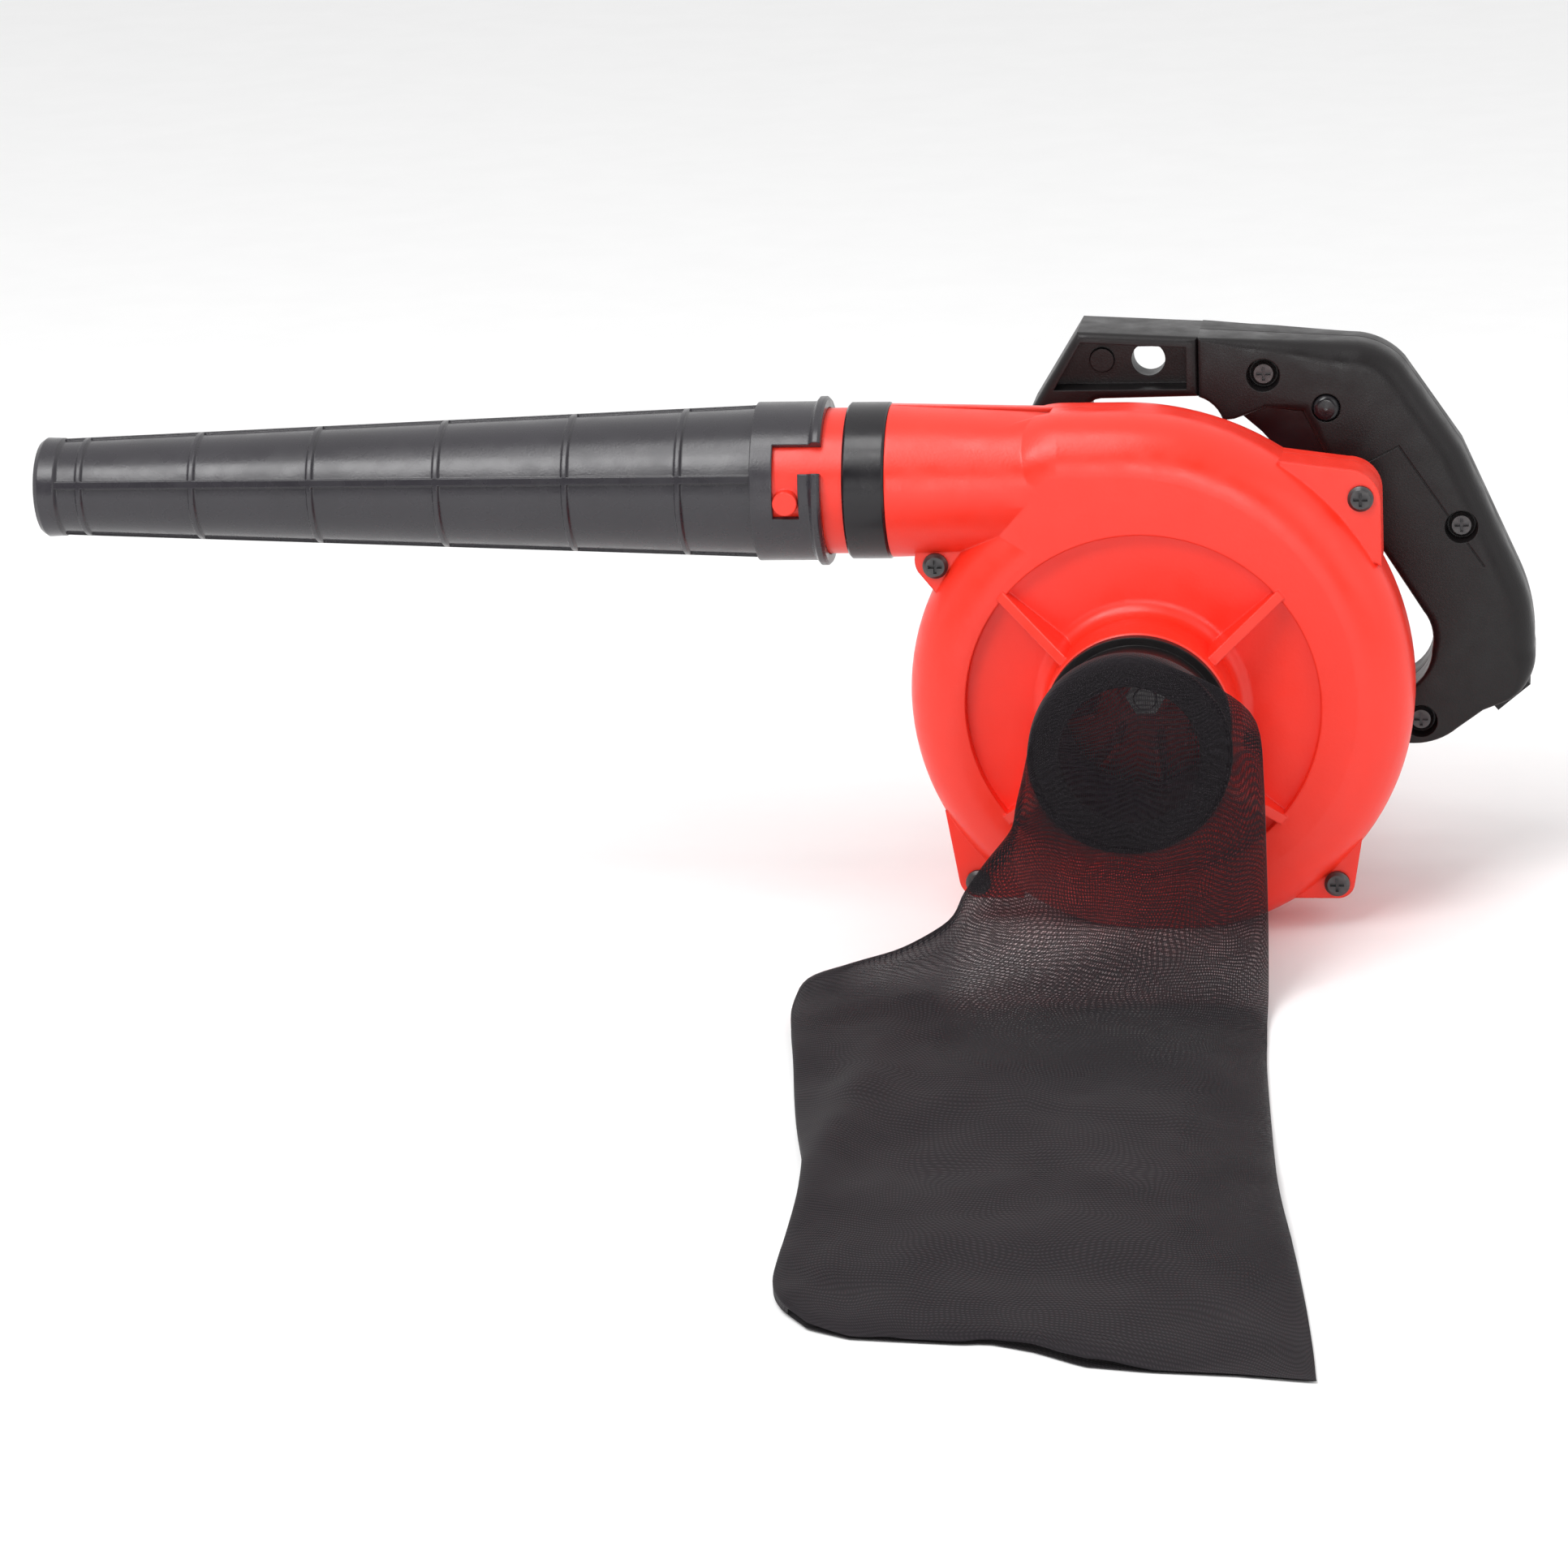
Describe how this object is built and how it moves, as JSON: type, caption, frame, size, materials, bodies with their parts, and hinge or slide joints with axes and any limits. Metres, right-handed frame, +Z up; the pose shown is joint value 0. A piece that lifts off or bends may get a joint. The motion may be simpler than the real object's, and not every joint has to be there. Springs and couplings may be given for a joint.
{
  "type": "leaf blower",
  "caption": "Hand-held electric leaf blower with a volute fan casing, tapered nozzle, closed-loop handle and a mesh collecting bag on its intake collar.",
  "frame": {"origin": "on the flat base, under the fan's axis, in the plane where the two halves of the fan casing meet", "axes": "+X from the nozzle towards the handle, -Y the intake side, +Z up"},
  "size_m": [0.4979, 0.5104, 0.1916],
  "materials": {
    "casing_plastic": "satin, fine moulded texture",
    "nozzle_plastic": "semi-gloss",
    "handle_plastic": "satin",
    "trigger_plastic": "semi-gloss",
    "band_plastic": "satin",
    "adapter_plastic": "satin",
    "fan_plastic": "satin",
    "screw_steel": "blackened",
    "steel": "ground",
    "motor_iron": "laminated",
    "copper": "enamelled wire",
    "brass_fitting": "drawn",
    "carbon": "dull",
    "gland_rubber": "matt",
    "bag_mesh": "fine knitted mesh"
  },
  "bodies": {
    "casing": {"front_cover": "casing_plastic", "rear_casing": "casing_plastic", "neck_band": "band_plastic", "cover_screws": "screw_steel", "motor_housing": "casing_plastic", "motor_screws": "screw_steel", "end_cap": "casing_plastic", "cap_screws": "screw_steel", "front_bearing_unit": "steel", "rear_bearing_unit": "steel", "stator_core": "motor_iron", "field_windings": "copper", "brush_holders": "brass_fitting", "carbon_brushes": "carbon", "brush_springs": "steel", "brush_caps": "handle_plastic", "handle_base": "handle_plastic", "handle_cover": "handle_plastic", "handle_screws": "screw_steel", "switch_body": "handle_plastic", "capacitor": "handle_plastic", "trigger_spring": "steel", "lock_spring": "steel", "cord_gland": "gland_rubber"},
    "rotor": {"shaft": "steel", "armature_core": "motor_iron", "armature_end_windings": "copper", "commutator": "copper", "impeller": "fan_plastic", "impeller_nut": "steel"},
    "nozzle": {"nozzle": "nozzle_plastic"},
    "trigger": {"trigger": "trigger_plastic"},
    "lock_button": {"lock_button": "trigger_plastic"},
    "bag": {"bag_adapter": "adapter_plastic", "bag_elastic": "bag_mesh", "dust_bag": "bag_mesh"}
  },
  "joints": [
    {"name": "rotor_spin", "type": "hinge", "parent": "casing", "child": "rotor", "pos_m": [0, 0, 0.078], "axis": [0, 1, 0], "continuous": true},
    {"name": "nozzle_twist", "type": "hinge", "parent": "casing", "child": "nozzle", "pos_m": [-0.115, 0, 0.1495], "axis": [1, 0, 0], "range_deg": [0, 32]},
    {"name": "trigger_pull", "type": "slide", "parent": "casing", "child": "trigger", "axis": [0.9205, 0, 0.3907], "range_m": [0, 0.006], "stiffness_N_per_m": 300, "springref_m": -0.005, "deforming": ["trigger_spring"]},
    {"name": "lock_press", "type": "slide", "parent": "casing", "child": "lock_button", "axis": [0, 1, 0], "range_m": [0, 0.002], "stiffness_N_per_m": 200, "springref_m": -0.003, "deforming": ["lock_spring"]},
    {"name": "bag_pull", "type": "slide", "parent": "casing", "child": "bag", "axis": [0, -1, 0], "range_m": [0, 0.025]}
  ]
}
